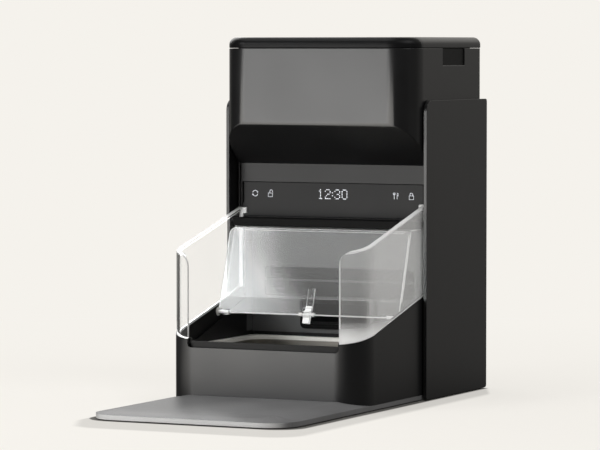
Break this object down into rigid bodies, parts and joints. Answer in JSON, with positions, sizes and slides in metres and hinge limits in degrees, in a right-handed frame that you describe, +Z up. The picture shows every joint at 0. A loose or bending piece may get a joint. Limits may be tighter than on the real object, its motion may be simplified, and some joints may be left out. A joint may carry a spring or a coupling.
{
  "type": "microchip pet feeder",
  "caption": "Floor-standing automatic pet feeder with a motor-driven clear bowl lid, clear side guards, display, hopper head and front platform.",
  "frame": {"origin": "on the ground under the middle of the whole footprint", "axes": "+Z up, the platform and the bowl face -Y, +X is the right-hand side seen from the front"},
  "size_m": [0.22, 0.45, 0.356],
  "materials": {
    "platform": "fine-textured grey plastic",
    "charcoal": "satin charcoal plastic with a fine grain",
    "tub_black": "satin black plastic",
    "inner_dark": "plain moulded plastic",
    "rubber": "matte",
    "steel": "zinc-plated and stamped",
    "bowl_steel": "deep-drawn stainless steel, brushed",
    "cell": "wrapped cells, blank",
    "copper": "enamelled copper winding",
    "clear": "clear polycarbonate, polished",
    "smoked": "smoked touch window",
    "circuit": "circuit board with solder mask",
    "hopper_grey": "translucent grey plastic",
    "white_plastic": "plain white plastic",
    "motor_grey": "zinc-plated motor can",
    "seal": "soft silicone"
  },
  "bodies": {
    "root": {"base_plate": "platform", "rubber_feet": "rubber", "base_screws": "steel", "battery_tray": "inner_dark", "battery_cells": "cell", "front_housing": "charcoal", "bowl_liner": "tub_black", "steel_bowl": "bowl_steel", "antenna_coil": "copper", "guard_left": "clear", "guard_right": "clear", "chute_shield": "clear", "lid_bracket": "clear", "axle_bushes": "white_plastic", "lid_motor": "motor_grey", "tower_front": "tub_black", "outlet_frame": "tub_black", "ledge_bar": "tub_black", "display_fascia": "charcoal", "display_window": "smoked", "led_board": "circuit", "tower_rear": "charcoal", "side_panel_left": "charcoal", "side_panel_right": "charcoal", "panel_screws": "steel", "head_shell": "charcoal", "hopper_bin": "hopper_grey", "rotor_housing": "white_plastic", "dispense_motor": "motor_grey", "chute": "white_plastic", "main_board": "circuit", "power_inlet": "steel"},
    "lid": {"bowl_lid": "clear", "lid_axle": "steel", "lid_crank": "steel"},
    "link": {"link_rod": "steel"},
    "lid_drive": {"motor_crank": "steel"},
    "rotor": {"rotor": "white_plastic"},
    "hopper_lid": {"top_lid": "charcoal", "lid_seal": "seal", "desiccant_box": "white_plastic"},
    "door": {"battery_door": "inner_dark"}
  },
  "joints": [
    {"name": "bowl_lid_hinge", "type": "hinge", "parent": "root", "child": "lid", "pos_m": [0, 0.034, 0.08407], "axis": [1, 0, 0], "range_deg": [0, 122]},
    {"name": "link_pivot", "type": "hinge", "parent": "lid", "child": "link", "pos_m": [0.102, 0.02613, 0.07971], "axis": [1, 0, 0], "range_deg": [-122, 0]},
    {"name": "lid_motor_shaft", "type": "hinge", "parent": "root", "child": "lid_drive", "pos_m": [0.1, 0.13, 0.08407], "axis": [1, 0, 0], "range_deg": [0, 122]},
    {"name": "rotor_spin", "type": "hinge", "parent": "root", "child": "rotor", "pos_m": [0, 0.16, 0.165], "axis": [1, 0, 0], "continuous": true},
    {"name": "hopper_lid_lift", "type": "slide", "parent": "root", "child": "hopper_lid", "axis": [0, 0, 1], "range_m": [0, 0.08]},
    {"name": "battery_door_slide", "type": "slide", "parent": "root", "child": "door", "axis": [1, 0, 0], "range_m": [0, 0.008]}
  ],
  "couplings": [
    {"joint": "link_pivot", "follows": "bowl_lid_hinge", "ratio": -1},
    {"joint": "lid_motor_shaft", "follows": "bowl_lid_hinge", "ratio": 1}
  ]
}
